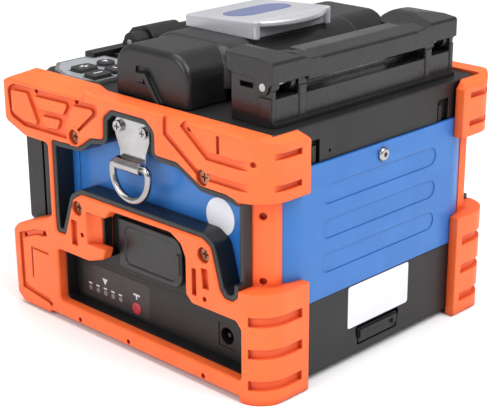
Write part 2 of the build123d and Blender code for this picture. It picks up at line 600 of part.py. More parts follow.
# Shallow relief in the front lug, as closed shapes left proud of a sunk field
LUG_FIELD = [(-74.9, 102.0, 3), (-70.3, 104.6, 3), (-13.8, 105.4, 2), (-13.6, 101.5, 2),
             (-25.4, 92.3, 2), (-31, 86.9, 2), (-64, 86.6, 3), (-73.6, 89.6, 3)]
LUG_PADS = [
    [(-72.6, 101.4, 1.5), (-61.3, 101.9, 1), (-54.4, 89.1, 1), (-64, 88.9, 1), (-72.4, 91.5, 1.5)],
    [(-57.2, 101.4, 1), (-33.2, 102.2, 1), (-36.6, 96.9, 1), (-53.6, 96.4, 1)],
    [(-52.2, 93.6, 0.8), (-38.6, 94.2, 0.8), (-40.9, 89.8, 0.8), (-49.2, 89.2, 0.8)],
    [(-29.9, 102.2, 0.8), (-17.4, 102.8, 0.8), (-17, 101.2, 0.8), (-29.2, 91.0, 1),
     (-36.2, 91.6, 1)],
]
DIMPLES = [(-55.8, 103.5), (-28.6, 104.0), (39.6, 106.4), (72.2, 98.9), (-69.4, 34.4),
           (-55.5, 38.4), (-69.6, 10.4), (-52, 6.0), (-31.5, 4.6), (0.6, 4.6), (46.1, 4.6),
           (-27.4, 45.5), (47.6, 38.5)]
GROOVE_Z = [35.5, 22.0, 8.5]
GROOVE_DEPTH = 1.8
RIM_ROUND = 1.2


def face_channel(points, width, depth, mode=Mode.SUBTRACT):
    """Open channel cut into the outer face of the bumper along a bent path."""
    with BuildSketch(side_plane(BUMPER_X - depth)) as path:
        with BuildLine():
            Polyline(*points)
        trace(line_width=width)
    extrude(path.sketch, amount=depth + 1, mode=mode)


def corner_band(inset, z, x_end, start_angle):
    """Band of material round the rear corner, from the side face to the rear face."""
    centre = (BUMPER_X - BUMPER_CORNER, BUMPER_REAR - BUMPER_CORNER)
    with BuildSketch(Plane.XY.offset(z[0])) as band:
        with BuildLine() as path:
            bend = CenterArc(centre, BUMPER_CORNER, start_angle, 90 - start_angle)
            Line(bend @ 1, (x_end, BUMPER_REAR))
        trace(line_width=2 * inset)
    extrude(band.sketch, amount=z[1] - z[0], mode=Mode.SUBTRACT)


with BuildPart() as bumper_right:
    # Skin with rounded rims round its outline and both windows
    side_prism(BUMPER_OUTLINE, (LINER_X, BUMPER_X))
    side_prism(WINDOW, (LINER_X - 1, BUMPER_X + 1), mode=Mode.SUBTRACT)
    side_prism(DRAWER_WINDOW, (LINER_X - 1, BUMPER_X + 1), mode=Mode.SUBTRACT)
    fillet(bumper_right.faces().sort_by(Axis.X)[-1].edges(), RIM_ROUND)
    side_prism(BUMPER_OUTLINE, (PAD_INNER_X, LINER_X))
    # Only the corner pads reach in past the case side
    block((PAD_INNER_X - 1, 65.05), (-90, LINER_REAR), (-1, 120), mode=Mode.SUBTRACT)
    block((PAD_INNER_X - 1, 65.05), (LINER_REAR - 1, 80), (-1, 0.2), mode=Mode.SUBTRACT)
    # Round the plan corners
    plan_prism(BUMPER_PLAN, (-1, 120), mode=Mode.INTERSECT)
    # Top faces fall away outwards
    rear_prism([(65, 110.6), (76, 105.6), (76, 112), (65, 112)], (-80, -22), mode=Mode.SUBTRACT)
    side_prism([(73.4, 109.2), (80, 105.2), (80, 112), (73.4, 112)], (40, 76),
               mode=Mode.SUBTRACT)
    rear_prism([(PAD_INNER_X - 0.1, 104.5), (53, 110), (40, 110), (40, 104.5)], (73, 80),
               mode=Mode.SUBTRACT)
    # Gap between the upper and lower pads
    block((PAD_INNER_X - 1, BUMPER_X + 1), (POST_Y, BUMPER_REAR + 1), POST_Z, mode=Mode.SUBTRACT)
    # Side windows through the flanges
    side_prism(WINDOW, (SIDE_X - 1, LINER_X + 1), mode=Mode.SUBTRACT)
    side_prism(DRAWER_WINDOW, (SIDE_X - 1, LINER_X + 1), mode=Mode.SUBTRACT)
    # Room behind the skin for the liner
    liner_room = [(-74.1, 102.5), (-66, 105.6), (LINER_REAR, 105.6), (LINER_REAR, 5),
                  (-74.1, 5), (-74.1, 38), (-50, 47), (-50, 82), (-70, 86)]
    with BuildPart(mode=Mode.PRIVATE) as cavity:
        side_prism(liner_room, (SIDE_X - 1, LINER_X))
        plan_prism(LINER_PLAN, (0, 120), mode=Mode.INTERSECT)
    add(cavity.part, mode=Mode.SUBTRACT)
    # Set-back post that joins the pads, with a ledge at each end
    with BuildPart(mode=Mode.PRIVATE) as post:
        plan_prism(POST_PLAN, (POST_Z[0] - LEDGE, POST_Z[1] + LEDGE))
        plan_prism(LEDGE_PLAN, (POST_Z[0] - LEDGE, POST_Z[0]))
        plan_prism(LEDGE_PLAN, (POST_Z[1], POST_Z[1] + LEDGE))
        case_corner = [(40, 40), (SIDE_X + 0.05, 40), (SIDE_X + 0.05, REAR_Y + 0.05, PANEL_CORNER),
                       (40, REAR_Y + 0.05)]
        plan_prism(case_corner, (40, 90), mode=Mode.SUBTRACT)
        for z in POST_HOLE_Z:
            with Locations(Plane(origin=(64, 68.9, z), z_dir=(0.8, 0.6, 0)).location):
                Cylinder(1.5, 4.4, mode=Mode.SUBTRACT)
    add(post.part)
    # Low wrap round the front foot of the case
    block((53, BUMPER_X - 3), (-77.3, -75.2), (2, 34))
    # Relief on the front lug
    side_prism(LUG_FIELD, (BUMPER_X - 1.5, BUMPER_X + 1), mode=Mode.SUBTRACT)
    for pad in LUG_PADS:
        side_prism(pad, (BUMPER_X - 2, BUMPER_X - 0.1))
    # Bosses round the upper screws
    rod_x(4.6, (BUMPER_X - 2, BUMPER_X), BOSS_SPOTS[2][0], BOSS_SPOTS[2][1])
    side_prism(WINDOW, (SIDE_X - 1, BUMPER_X + 1), mode=Mode.SUBTRACT)
    # Channels on the rear half
    face_channel([(27, 109.5), (27, 102), (44.5, 90.5)], 2.4, 1.2)
    face_channel([(36.5, 108), (50, 98), (73.5, 98)], 3.4, 1.2)
    face_channel([(56, 100), (56, 107)], 1.6, 1.2)
    face_channel([(50, 89.6), (72, 89.6)], 3.0, 1.2)
    # C-shaped channel and raised frame on the lower front block
    face_channel([(-52.5, 39.6), (-61, 38.0), (-71.5, 34), (-71.2, 9.5), (-52.5, 7.0)], 2.6, 1.2)
    face_channel([(-64, 15.5), (-64, 30), (-52, 30)], 1.0, 0.6)
    # Slots and scoop in the legs under the window
    face_channel([(-32.6, 39.5), (-32.6, 51)], 4.0, 2.0)
    face_channel([(41.8, 38.5), (41.8, 50)], 2.6, 2.0)
    face_channel([(48.4, 43), (47.6, 51.5)], 3.6, 2.0)
    rod_z(9.0, BUMPER_X + 3.5, -16.0, (42.5, 57), mode=Mode.SUBTRACT)
    # Grooves round the rear pads
    for z in GROOVE_Z:
        corner_band(GROOVE_DEPTH, (z - 2, z + 2), 52.5, 22)
    for z in (89.2, 101.6):
        block((53.5, 67), (BUMPER_REAR - 1.6, BUMPER_REAR + 1), (z - 1.2, z + 1.2),
              mode=Mode.SUBTRACT)
    # Moulding dimples
    for spot in DIMPLES:
        rod_x(1.1, (BUMPER_X - 3.2, BUMPER_X + 1), spot[0], spot[1], mode=Mode.SUBTRACT)
    # Counterbored screw holes
    for spot in BOSS_SPOTS:
        rod_x(3.3, (SCREW_HEAD_SEAT, BUMPER_X + 1), spot[0], spot[1], mode=Mode.SUBTRACT)
        rod_x(M3_CLEAR, (LINER_X - 1, BUMPER_X + 1), spot[0], spot[1], mode=Mode.SUBTRACT)
save(bumper_right.part, "bumper_right")

with BuildPart() as bumper_left:
    mirror(bumper_right.part, about=Plane.YZ)
save(bumper_left.part, "bumper_left")

LINER_OUTLINE = [(-74, 102.3), (-66, 105.4), (LINER_REAR - 0.1, 105.4), (LINER_REAR - 0.1, 5.2),
                 (-73.9, 5.2), (-73.9, 37.9), (-49.9, 46.9), (-49.9, 82.1), (-69.9, 86.1)]
with BuildPart() as liner_right:
    side_prism(LINER_OUTLINE, (SIDE_X + 0.2, LINER_X - 0.05))
    plan_prism(LINER_PLAN, (0, 120), mode=Mode.INTERSECT, grow=-0.05)
    # Soft bead that lines the edge of the window in the skin
    side_prism(WINDOW, (LINER_X - 0.1, BEAD_X), grow=-0.05)
    side_prism(WINDOW, (SIDE_X - 1, BUMPER_X + 1), mode=Mode.SUBTRACT, grow=-LINER_REVEAL)
    side_prism(DRAWER_WINDOW, (SIDE_X - 1, LINER_X + 1), mode=Mode.SUBTRACT)
    # Room for the set-back post and its ledges
    block((SIDE_X - 1, LINER_X + 1), (POST_Y, 80),
          (POST_Z[0] - LEDGE - 0.1, POST_Z[1] + LEDGE + 0.1), mode=Mode.SUBTRACT)
    block((LINER_X + 1, BUMPER_X), (POST_Y - 3, POST_Y), (49, 81.5), mode=Mode.SUBTRACT)
    # Relief for the barrel of the rubber flap
    block((SIDE_X, FLAP_AXIS_X + 1.6), (FLAP_AXIS_Y - 1.6, FLAP_AXIS_Y + 2),
          (FLAP_Z[0] - 0.6, FLAP_Z[1] + 0.6), mode=Mode.SUBTRACT)
    block((SIDE_X, LINER_X + 1), (-18.5, -11), (38, 57.5), mode=Mode.SUBTRACT)
    # Tongue behind the ring plate
    tongue = [(-7, 89.5, 2), (16, 89.5, 2), (16, 103.9, 2), (-7, 103.9, 2)]
    side_prism(tongue, (SIDE_X + 0.2, TONGUE_X))
    for spot in BOSS_SPOTS:
        rod_x(M3_CLEAR, (SIDE_X - 1, LINER_X + 1), spot[0], spot[1], mode=Mode.SUBTRACT)
    for y in (RING_Y - 7.6, RING_Y + 7.6):
        rod_x(1.3, (SIDE_X + 1, TONGUE_X + 1), y, 98.6, mode=Mode.SUBTRACT)
save(liner_right.part, "liner_right")

with BuildPart() as liner_left:
    mirror(liner_right.part, about=Plane.YZ)
save(liner_left.part, "liner_left")

with BuildPart() as bumper_screws:
    for side in (-1, 1):
        for spot in BOSS_SPOTS:
            rod_x(M3_SHAFT, sorted((side * 58, side * 72)), spot[0], spot[1])
            rod_x(2.9, sorted((side * (SCREW_HEAD_SEAT + 0.02), side * 73.6)), spot[0], spot[1])
            for turn in (0, 90):
                with Locations(Location((side * 73.6, spot[0], spot[1]), (turn, 0, 0))):
                    Box(2.0, 0.8, 3.4, mode=Mode.SUBTRACT)
save(bumper_screws.part, "bumper_screws")

# ---------------------------------------------------------------------------
# Strap rings
# ---------------------------------------------------------------------------

RING_AXIS_X = 74.0
RING_AXIS_Z = 83.7
RING_WIRE = 1.5
RING_HALF = 10.8
RING_DROP = 79.8
CURL_HALF = 7.4
PLATE_X = (TONGUE_X + 0.03, TONGUE_X + 1.5)
RING_SCREW_Z = 98.6

with BuildPart() as ring_plates:
    for side in (-1, 1):
        face = [(RING_Y - 10.3, 102.4, 3), (RING_Y - 10.3, 95, 3), (RING_Y - 7.8, 89, 1),
                (RING_Y - CURL_HALF, 84.6), (RING_Y + CURL_HALF, 84.6), (RING_Y + 7.8, 89, 1),
                (RING_Y + 10.3, 95, 3), (RING_Y + 10.3, 102.4, 3)]
        side_prism(face, sorted((side * PLATE_X[0], side * PLATE_X[1])))
        rod_y(2.8, side * RING_AXIS_X, (RING_Y - CURL_HALF, RING_Y + CURL_HALF), RING_AXIS_Z)
        rod_y(RING_WIRE + 0.06, side * RING_AXIS_X, (RING_Y - 9, RING_Y + 9), RING_AXIS_Z,
              mode=Mode.SUBTRACT)
        for y in (RING_Y - 7.6, RING_Y + 7.6):
            rod_x(1.3, sorted((side * 70, side * 74)), y, RING_SCREW_Z, mode=Mode.SUBTRACT)
save(ring_plates.part, "ring_plates")

with BuildPart() as ring_screws:
    for side in (-1, 1):
        for y in (RING_Y - 7.6, RING_Y + 7.6):
            rod_x(1.2, sorted((side * 66.5, side * 73)), y, RING_SCREW_Z)
            rod_x(2.4, sorted((side * (PLATE_X[1] + 0.02), side * 74)), y, RING_SCREW_Z)
            for turn in (0, 90):
                with Locations(Location((side * 74, y, RING_SCREW_Z), (turn, 0, 0))):
                    Box(1.6, 0.7, 2.8, mode=Mode.SUBTRACT)
save(ring_screws.part, "ring_screws")

with BuildPart() as carry_ring_right:
    with BuildLine(side_plane(RING_AXIS_X)) as loop:
        top_left = (RING_Y - RING_HALF, RING_AXIS_Z)
        top_right = (RING_Y + RING_HALF, RING_AXIS_Z)
        FilletPolyline(
            (RING_Y - RING_HALF, RING_DROP),
            top_left,
            top_right,
            (RING_Y + RING_HALF, RING_DROP),
            radius=2.4,
        )
        ThreePointArc(
            (RING_Y + RING_HALF, RING_DROP),
            (RING_Y, RING_DROP - RING_HALF),
            (RING_Y - RING_HALF, RING_DROP),
        )
    with BuildSketch(Plane(origin=loop.line @ 0, z_dir=loop.line % 0)):
        Circle(RING_WIRE)
    sweep(path=loop.line)
save(carry_ring_right.part, "carry_ring_right")

with BuildPart() as carry_ring_left:
    mirror(carry_ring_right.part, about=Plane.YZ)
save(carry_ring_left.part, "carry_ring_left")

# ---------------------------------------------------------------------------
# Splicing chamber
# ---------------------------------------------------------------------------

CHAMBER_TOP = 106.0

with BuildPart() as chamber_base:
    block((-40.8, 40.8), (-18.8, 26.8), (98, CHAMBER_TOP))
    for x in (-40, 40):
        block((x - 0.8, x + 0.8), (-18.8, 26.8), (91.1, 99))
    for side in (-1, 1):
        # Seats on either side for the fibre holders
        block(sorted((side * 13, side * 40.9)), (-17, -8), (103, 107), mode=Mode.SUBTRACT)
save(chamber_base.part, "chamber_base")

with BuildPart() as v_groove_block:
    block((-9, 9), (-14, 15), (CHAMBER_TOP + 0.02, 112))
    for side in (-1, 1):
        block(sorted((side * 2.4, side * 8.5)), (FIBRE_Y - 3, FIBRE_Y + 3), (111, FIBRE_Z))
        notch = [(FIBRE_Y - 1, FIBRE_Z + 1), (FIBRE_Y + 1, FIBRE_Z + 1), (FIBRE_Y, FIBRE_Z - 0.9)]
        side_prism(notch, sorted((side * 2, side * 9)), mode=Mode.SUBTRACT)
        holder = sorted((FIBRE_Y + side * 7, FIBRE_Y + side * 13))
        block((-3.4, 3.4), holder, (111, FIBRE_Z + 2.6))
    rod_y(0.85, 0, (FIBRE_Y - 15, FIBRE_Y + 15), FIBRE_Z, mode=Mode.SUBTRACT)
save(v_groove_block.part, "v_groove_block")

with BuildPart() as electrodes:
    for side in (-1, 1):
        rod_y(0.8, 0, sorted((FIBRE_Y + side * 3, FIBRE_Y + side * 15)), FIBRE_Z)
        with Locations(Location((0, FIBRE_Y + side * 2, FIBRE_Z), (side * 90, 0, 0))):
            Cone(0.8, 0.1, 2.0)
        rod_y(1.6, 0, sorted((FIBRE_Y + side * 13.2, FIBRE_Y + side * 15)), FIBRE_Z)
save(electrodes.part, "electrodes")

CLAMP_AXIS_Y = 6.3
CLAMP_AXIS_Z = 116.5
STAGE_TOP = 116.0

with BuildPart() as fibre_stage_right:
    block((14, 38), (-6, 4.2), (CHAMBER_TOP + 0.1, STAGE_TOP))
    block((14, 38), (4, 8.2), (CHAMBER_TOP + 0.1, 113.5))
    for x in (14, 36):
        block((x, x + 2), (4, 8.2), (113, CLAMP_AXIS_Z))
        rod_x(1.8, (x, x + 2), CLAMP_AXIS_Y, CLAMP_AXIS_Z)
    rod_x(0.86, (13, 39), CLAMP_AXIS_Y, CLAMP_AXIS_Z, mode=Mode.SUBTRACT)
    groove = [(FIBRE_Y - 1.2, STAGE_TOP + 0.1), (FIBRE_Y + 1.2, STAGE_TOP + 0.1),
              (FIBRE_Y, STAGE_TOP - 1.2)]
    side_prism(groove, (13, 39), mode=Mode.SUBTRACT)
save(fibre_stage_right.part, "fibre_stage_right")

with BuildPart() as fibre_stage_left:
    mirror(fibre_stage_right.part, about=Plane.YZ)
save(fibre_stage_left.part, "fibre_stage_left")

with BuildPart() as fibre_clamp_right:
    block((16.2, 35.8), (-4.4, CLAMP_AXIS_Y), (STAGE_TOP + 0.1, STAGE_TOP + 2.4))
    rod_x(1.3, (16.2, 35.8), CLAMP_AXIS_Y, CLAMP_AXIS_Z)
    rod_x(0.8, (14.2, 37.8), CLAMP_AXIS_Y, CLAMP_AXIS_Z)
save(fibre_clamp_right.part, "fibre_clamp_right")

with BuildPart() as fibre_clamp_left:
    mirror(fibre_clamp_right.part, about=Plane.YZ)
save(fibre_clamp_left.part, "fibre_clamp_left")

# ---------------------------------------------------------------------------
# Wind cover over the chamber
# ---------------------------------------------------------------------------

COVER_FLOOR = DECK_TOP + 0.4
COVER_TOP = 130.0
COVER_WALL = 1.6
COVER_HALF = 43.0
COVER_Y = (-22.5, 31.5)
BARREL_X = 62.0
BARREL_Y = (-17.3, 26.5)
COVER_HINGE_Y = -25.0
COVER_HINGE_Z = 112.5
KNUCKLE_X = (24.0, 38.0)
REAR_WALL_FLOOR = 113.5
COVER_REAR_ROUND = 13.5
CAP_HALF = 23.5


def cover_shell(half, y, z, radii, end_round):
    """Long vault with rounded shoulders and softened ends."""
    profile = [(y[0], z[0]), (y[1], z[0]), (y[1], z[1], radii[1]), (y[0], z[1], radii[0])]
    with BuildPart(mode=Mode.PRIVATE) as vault:
        extrude(outline(side_plane(-half), profile), amount=2 * half)
        for end in (vault.faces().sort_by(Axis.X)[0], vault.faces().sort_by(Axis.X)[-1]):
            rim = end.edges().filter_by(lambda e: e.center().Z > z[0] + 0.5)
            fillet(rim, end_round)
    return vault.part


with BuildPart() as wind_cover:
    add(cover_shell(COVER_HALF, COVER_Y, (COVER_FLOOR, COVER_TOP), (13, COVER_REAR_ROUND), 8))
    add(cover_shell(BARREL_X, BARREL_Y, (COVER_FLOOR, COVER_TOP - 0.4), (11, 10.5), 2.5))
    inner_main = cover_shell(
        COVER_HALF - COVER_WALL,
        (COVER_Y[0] + COVER_WALL, COVER_Y[1] - COVER_WALL),
        (COVER_FLOOR - 1, COVER_TOP - COVER_WALL),
        (13 - COVER_WALL, COVER_REAR_ROUND - COVER_WALL),
        8 - COVER_WALL,
    )
    add(inner_main, mode=Mode.SUBTRACT)
    inner_barrel = cover_shell(
        BARREL_X - 1.8,
        (BARREL_Y[0] + COVER_WALL, BARREL_Y[1] - COVER_WALL),
        (COVER_FLOOR - 1, COVER_TOP - 0.4 - COVER_WALL),
        (11 - COVER_WALL, 10.5 - COVER_WALL),
        1.0,
    )
    add(inner_barrel, mode=Mode.SUBTRACT)
    # Seat for the rear of the cap where the vault falls away
    side_prism([(14, COVER_TOP - 1.4), (23.7, COVER_TOP - 3), (23.7, COVER_TOP), (14, COVER_TOP)],
               (1 - CAP_HALF, CAP_HALF - 1))
    # Rear wall stops above the fixed rim of the deck
    block((-COVER_HALF - 1, COVER_HALF + 1), (BARREL_Y[1] + 0.2, COVER_Y[1] + 1),
          (COVER_FLOOR - 1, REAR_WALL_FLOOR), mode=Mode.SUBTRACT)
    # Fibre entries: a small square boss and a slit running down to the deck
    for side in (-1, 1):
        face = sorted((side * (BARREL_X - 1), side * (BARREL_X + 0.8)))
        side_prism([(-4, 114.6, 1), (4.8, 114.6, 1), (4.8, 121.4, 1), (-4, 121.4, 1)], face)
        through = sorted((side * (BARREL_X - 3), side * (BARREL_X + 2)))
        block(through, (-2.2, 2.2), (115.6, 119.4), mode=Mode.SUBTRACT)
        slit = [(1.6, 118.6), (3.0, 119.8), (11.4, COVER_FLOOR - 0.1), (9.2, COVER_FLOOR - 0.1)]
        side_prism(slit, through, mode=Mode.SUBTRACT)
        # Hinge knuckles along the front wall
        knuckle = sorted((side * KNUCKLE_X[0], side * KNUCKLE_X[1]))
        rod_x(2.5, knuckle, COVER_HINGE_Y, COVER_HINGE_Z)
        block(knuckle, (COVER_HINGE_Y, COVER_Y[0] + 1), (COVER_HINGE_Z, COVER_HINGE_Z + 2.5))
        rod_x(1.0, sorted((side * 20, side * 42)), COVER_HINGE_Y, COVER_HINGE_Z,
              mode=Mode.SUBTRACT)
save(wind_cover.part, "wind_cover")

CAP_SEAT = COVER_TOP + 0.03
CAP_FRONT = (-16.5, 134.8)
CAP_REAR = (25.8, 137.4)
CAP_LIP_Z = 135.0
CAP_LIP_Y = 32.3

with BuildPart() as cover_cap:
    cap_side = [(CAP_FRONT[0], CAP_SEAT), (24.0, CAP_SEAT), (CAP_REAR[0] - 1, CAP_LIP_Z),
                CAP_REAR, CAP_FRONT]
    side_prism(cap_side, (-CAP_HALF, CAP_HALF))
    cap_plan = [(-CAP_HALF, CAP_FRONT[0], 2.5), (CAP_HALF, CAP_FRONT[0], 2.5), (CAP_HALF, 30),
                (-CAP_HALF, 30)]
    plan_prism(cap_plan, (CAP_SEAT - 1, 140), mode=Mode.INTERSECT)
    cap_top = cover_cap.faces().filter_by(lambda f: f.normal_at().Z > 0.9)
    fillet(cap_top.edges(), 0.9)
    # Lifting lip: the top plate bulges rearwards between its corners
    with BuildSketch(Plane.XY.offset(CAP_LIP_Z)):
        with BuildLine():
            Polyline((CAP_HALF - 1.5, CAP_REAR[0] - 1), (CAP_HALF - 1.5, CAP_REAR[0] - 6),
                     (1.5 - CAP_HALF, CAP_REAR[0] - 6), (1.5 - CAP_HALF, CAP_REAR[0] - 1))
            ThreePointArc((1.5 - CAP_HALF, CAP_REAR[0] - 1), (0, CAP_LIP_Y),
                          (CAP_HALF - 1.5, CAP_REAR[0] - 1))
        make_face()
    extrude(amount=CAP_REAR[1] - CAP_LIP_Z - 0.35)
    fillet(cover_cap.faces().sort_by(Axis.Y)[-1].edges().group_by(Axis.Z)[-1], 0.7)
    # Corner ribs at both ends of the lip
    for side in (-1, 1):
        rod_z(1.6, side * (CAP_HALF - 1.7), CAP_REAR[0] - 1.2, (CAP_SEAT, CAP_REAR[1] - 0.4))
    # Seat for the badge on the sloping top
    slope = (CAP_REAR[1] - CAP_FRONT[1]) / (CAP_REAR[0] - CAP_FRONT[0])
    badge_z = CAP_FRONT[1] + slope * (MID_Y - CAP_FRONT[0])
    badge_plane = Plane(origin=(0, MID_Y, badge_z - 0.35), x_dir=(1, 0, 0), z_dir=(0, -slope, 1))
    with BuildSketch(badge_plane) as badge_seat:
        SlotOverall(35, 16)
    extrude(amount=3, mode=Mode.SUBTRACT)
save(cover_cap.part, "cover_cap")

with BuildPart() as cap_badge:
    with BuildSketch(badge_plane.offset(0.03)):
        SlotOverall(34.6, 15.6)
    extrude(amount=0.4)
save(cap_badge.part, "cap_badge")

# ---------------------------------------------------------------------------
# Sleeve heater behind the cover
# ---------------------------------------------------------------------------

HEATER_X = 56.5
HEATER_Y = (45.0, 66.0)
HEATER_FLOOR = DECK_TOP + 0.05
HEATER_TRAY_TOP = 118.4
HEATER_BLOCK_TOP = 128.3
HEATER_BLOCK_X = 37.2
LID_AXIS_Y = 61.8
LID_AXIS_Z = 123.2
PIVOT_ROUND = 5.1
LID_INNER_ROUND = 5.2
LID_REAR = 67.2
PAD_FRONT = 40.4
LID_SKIRT_Z = 125.0
LID_END_X = 57.3
WINDOW_X = (41.5, 54.3)
HEATER_GROOVE_Y = 53.0

with BuildPart() as heater_base:
    block((-HEATER_X, HEATER_X), HEATER_Y, (HEATER_FLOOR, HEATER_TRAY_TOP))
    for side in (-1, 1):
        end = [(HEATER_Y[0], HEATER_TRAY_TOP - 1), (LID_AXIS_Y + PIVOT_ROUND, HEATER_TRAY_TOP - 1),
               (LID_AXIS_Y + PIVOT_ROUND, HEATER_BLOCK_TOP, PIVOT_ROUND),
               (HEATER_Y[0], HEATER_BLOCK_TOP, 2)]
        end_x = sorted((side * HEATER_BLOCK_X, side * HEATER_X))
        side_prism(end, end_x)
        block(end_x, (HEATER_Y[1], HEATER_Y[1] + 2), (HEATER_TRAY_TOP - 2, HEATER_BLOCK_TOP),
              mode=Mode.SUBTRACT)
        # Openings at the rear that show the hinge pins
        block(sorted((side * WINDOW_X[0], side * WINDOW_X[1])), (57.6, 70), (118.8, 130),
              mode=Mode.SUBTRACT)
        # Fibre slots in the end faces
        block(sorted((side * (HEATER_X - 4), side * (HEATER_X + 1))), (49.5, 56.5),
              (121.8, 123.8), mode=Mode.SUBTRACT)
        # Fibre path through the end blocks, open at the top
        block(sorted((side * (HEATER_BLOCK_X - 1), side * (HEATER_X - 5))),
              (HEATER_GROOVE_Y - 2, HEATER_GROOVE_Y + 2), (121.8, 130), mode=Mode.SUBTRACT)
        rod_x(1.0, sorted((side * 38.6, side * (HEATER_X + 1))), LID_AXIS_Y, LID_AXIS_Z,
              mode=Mode.SUBTRACT)
        rod_x(1.7, sorted((side * (HEATER_X - 0.8), side * (HEATER_X + 1))), LID_AXIS_Y,
              LID_AXIS_Z, mode=Mode.SUBTRACT)
    # Trough for the hot plate and a step along the foot
    block((-33, 33), (HEATER_GROOVE_Y - 5, HEATER_GROOVE_Y + 5), (114.4, 120),
          mode=Mode.SUBTRACT)
    block((-HEATER_X, HEATER_X), (HEATER_Y[1] - 1, HEATER_Y[1] + 1.6),
          (HEATER_FLOOR, HEATER_FLOOR + 1.9))
    # Glossy strap down each rear corner
    for side in (-1, 1):
        strap = [(HEATER_Y[1], 119.2), (58.6, 119.2, 1), (61.4, 113.5, 6), (58.8, HEATER_FLOOR),
                 (HEATER_Y[1], HEATER_FLOOR)]
        side_prism(strap, sorted((side * (HEATER_X - 0.2), side * (HEATER_X + 0.6))))
        for x in ((37.4, 41.2), (54.6, 56.5)):
            block(sorted((side * x[0], side * x[1])), (HEATER_Y[1] - 1, HEATER_Y[1] + 0.4),
                  (HEATER_FLOOR, 122.0))
save(heater_base.part, "heater_base")

with BuildPart() as heater_plate:
    block((-32.8, 32.8), (HEATER_GROOVE_Y - 4.8, HEATER_GROOVE_Y + 4.8), (114.45, 119.4))
    side_prism([(HEATER_GROOVE_Y - 2.5, 120), (HEATER_GROOVE_Y, 116.2), (HEATER_GROOVE_Y + 2.5, 120)],
               (-34, 34), mode=Mode.SUBTRACT)
save(heater_plate.part, "heater_plate")

with BuildPart() as heater_lid:
    bar = [(50, 124.2), (LID_REAR, 123.6), (LID_REAR, 131.4, 1.2), (59, 132.6, 1), (50, 131.4, 1.5)]
    side_prism(bar, (-37, 37))
    for side in (-1, 1):
        # Domed finger pads that sink into the bar
        ear = [(40.4, 128.4), (LID_REAR, 128.4), (LID_REAR, 133, 1.2), (58, 134.2, 8),
               (48, 135.6, 6), (41.2, 134.6, 3), (40.4, 131.5, 1.5)]
        pad = [(side * LID_END_X, LID_REAR + 1), (side * 30, LID_REAR + 1), (side * 30, 49.5),
               (side * 34.4, 49.5, 2), (side * 34.4, PAD_FRONT, 6.8), (side * LID_END_X, PAD_FRONT, 4)]
        dome = [(side * 28, 125), (side * 28, 131.3), (side * 35, 131.3, 6), (side * 46, 135.1, 12),
                (side * 60, 133.6), (side * 60, 125)]
        with BuildPart(mode=Mode.PRIVATE) as finger_pad:
            side_prism(ear, sorted((side * 29, side * LID_END_X)))
            plan_prism(pad, (120, 140), mode=Mode.INTERSECT)
            rear_prism(dome, (30, 80), mode=Mode.INTERSECT)
        add(finger_pad.part)
        # Rear skirt over the pin openings, hollowed round the hinge
        reach = sorted((side * 37, side * LID_END_X))
        block(reach, (LID_AXIS_Y, LID_REAR), (LID_SKIRT_Z, 129))
        rod_x(LID_INNER_ROUND, sorted((side * 37, side * (HEATER_X + 0.06))), LID_AXIS_Y,
              LID_AXIS_Z, mode=Mode.SUBTRACT)
        # End plates over the ends of the base
        end_plate = [(42.6, 130), (43.4, 127.4, 1), (48, 126.2, 3), (57.4, 126.0, 2),
                     (58.6, LID_AXIS_Z), (65, LID_AXIS_Z), (66.6, LID_SKIRT_Z), (LID_REAR, 130)]
        outside = sorted((side * (HEATER_X + 0.08), side * LID_END_X))
        side_prism(end_plate, outside)
        rod_x(3.2, outside, LID_AXIS_Y, LID_AXIS_Z)
        # Arms reaching down to the hinge pin inside the rear openings
        for x in (42.0, 51.3):
            arm = sorted((side * x, side * (x + 2.5)))
            rod_x(3.3, arm, LID_AXIS_Y, LID_AXIS_Z)
            block(arm, (LID_AXIS_Y - 3.3, LID_AXIS_Y + 3.3), (LID_AXIS_Z, 129))
        rod_x(1.0, sorted((side * 40, side * 56)), LID_AXIS_Y, LID_AXIS_Z, mode=Mode.SUBTRACT)
        rod_x(1.7, sorted((side * 56, side * 58)), LID_AXIS_Y, LID_AXIS_Z, mode=Mode.SUBTRACT)
    # Shallow seat for the plate
    block((-30.2, 30.2), (50.8, 58.4), (131.5, 134), mode=Mode.SUBTRACT)
save(heater_lid.part, "heater_lid")

with BuildPart() as heater_lid_plate:
    block((-30, 30), (51.0, 58.2), (131.55, 132.5))
    chamfer(heater_lid_plate.faces().sort_by(Axis.Z)[-1].edges(), 0.3)
save(heater_lid_plate.part, "heater_lid_plate")

# Hinge pins of the wind cover and of the heater lid
with BuildPart() as hinge_pins:
    for side in (-1, 1):
        rod_x(0.95, sorted((side * 20.8, side * 41.2)), COVER_HINGE_Y, COVER_HINGE_Z)
        rod_x(0.95, sorted((side * 38.8, side * 56.0)), LID_AXIS_Y, LID_AXIS_Z)
        rod_x(1.6, sorted((side * 55.75, side * 57.2)), LID_AXIS_Y, LID_AXIS_Z)
save(hinge_pins.part, "hinge_pins")
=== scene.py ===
import json
import math

import bpy
from mathutils import Matrix, Vector


